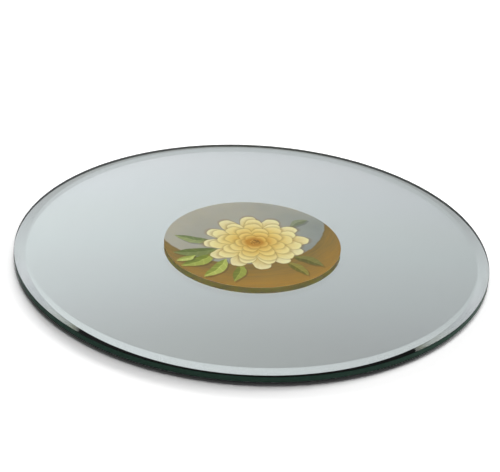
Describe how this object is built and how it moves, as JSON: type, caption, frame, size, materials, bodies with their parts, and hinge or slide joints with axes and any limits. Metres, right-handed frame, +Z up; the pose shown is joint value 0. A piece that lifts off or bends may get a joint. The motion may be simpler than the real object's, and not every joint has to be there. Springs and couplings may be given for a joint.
{
  "type": "candle plate",
  "caption": "Round bevelled mirror plate for standing candles on, with a round printed label on its face and low round pads beneath.",
  "frame": {"origin": "on the plate's axis at the level of the table, which is the underside of the pads", "axes": "+Z up along the plate's axis, through the mirror face; -Y towards the front of the plate as pictured; +X to its right"},
  "size_m": [0.2, 0.2, 0.0047],
  "materials": {
    "float_glass": "clear float glass with a polished bevel and edge",
    "silvering": "silver under glass",
    "mirror_lacquer": "grey sprayed lacquer, satin",
    "label_paper": "printed coated paper, semi-gloss",
    "clear_adhesive": "acrylic adhesive film",
    "pad_foam": "dense black foam rubber, matte"
  },
  "bodies": {
    "root": {"glass_plate": "float_glass", "silver_film": "silvering", "backing_paint": "mirror_lacquer", "label_face": "label_paper", "label_adhesive": "clear_adhesive", "pad_back_right": "pad_foam", "pad_back_left": "pad_foam", "pad_front_left": "pad_foam", "pad_front_right": "pad_foam", "pad_adhesive_back_right": "clear_adhesive", "pad_adhesive_back_left": "clear_adhesive", "pad_adhesive_front_left": "clear_adhesive", "pad_adhesive_front_right": "clear_adhesive"}
  },
  "joints": []
}
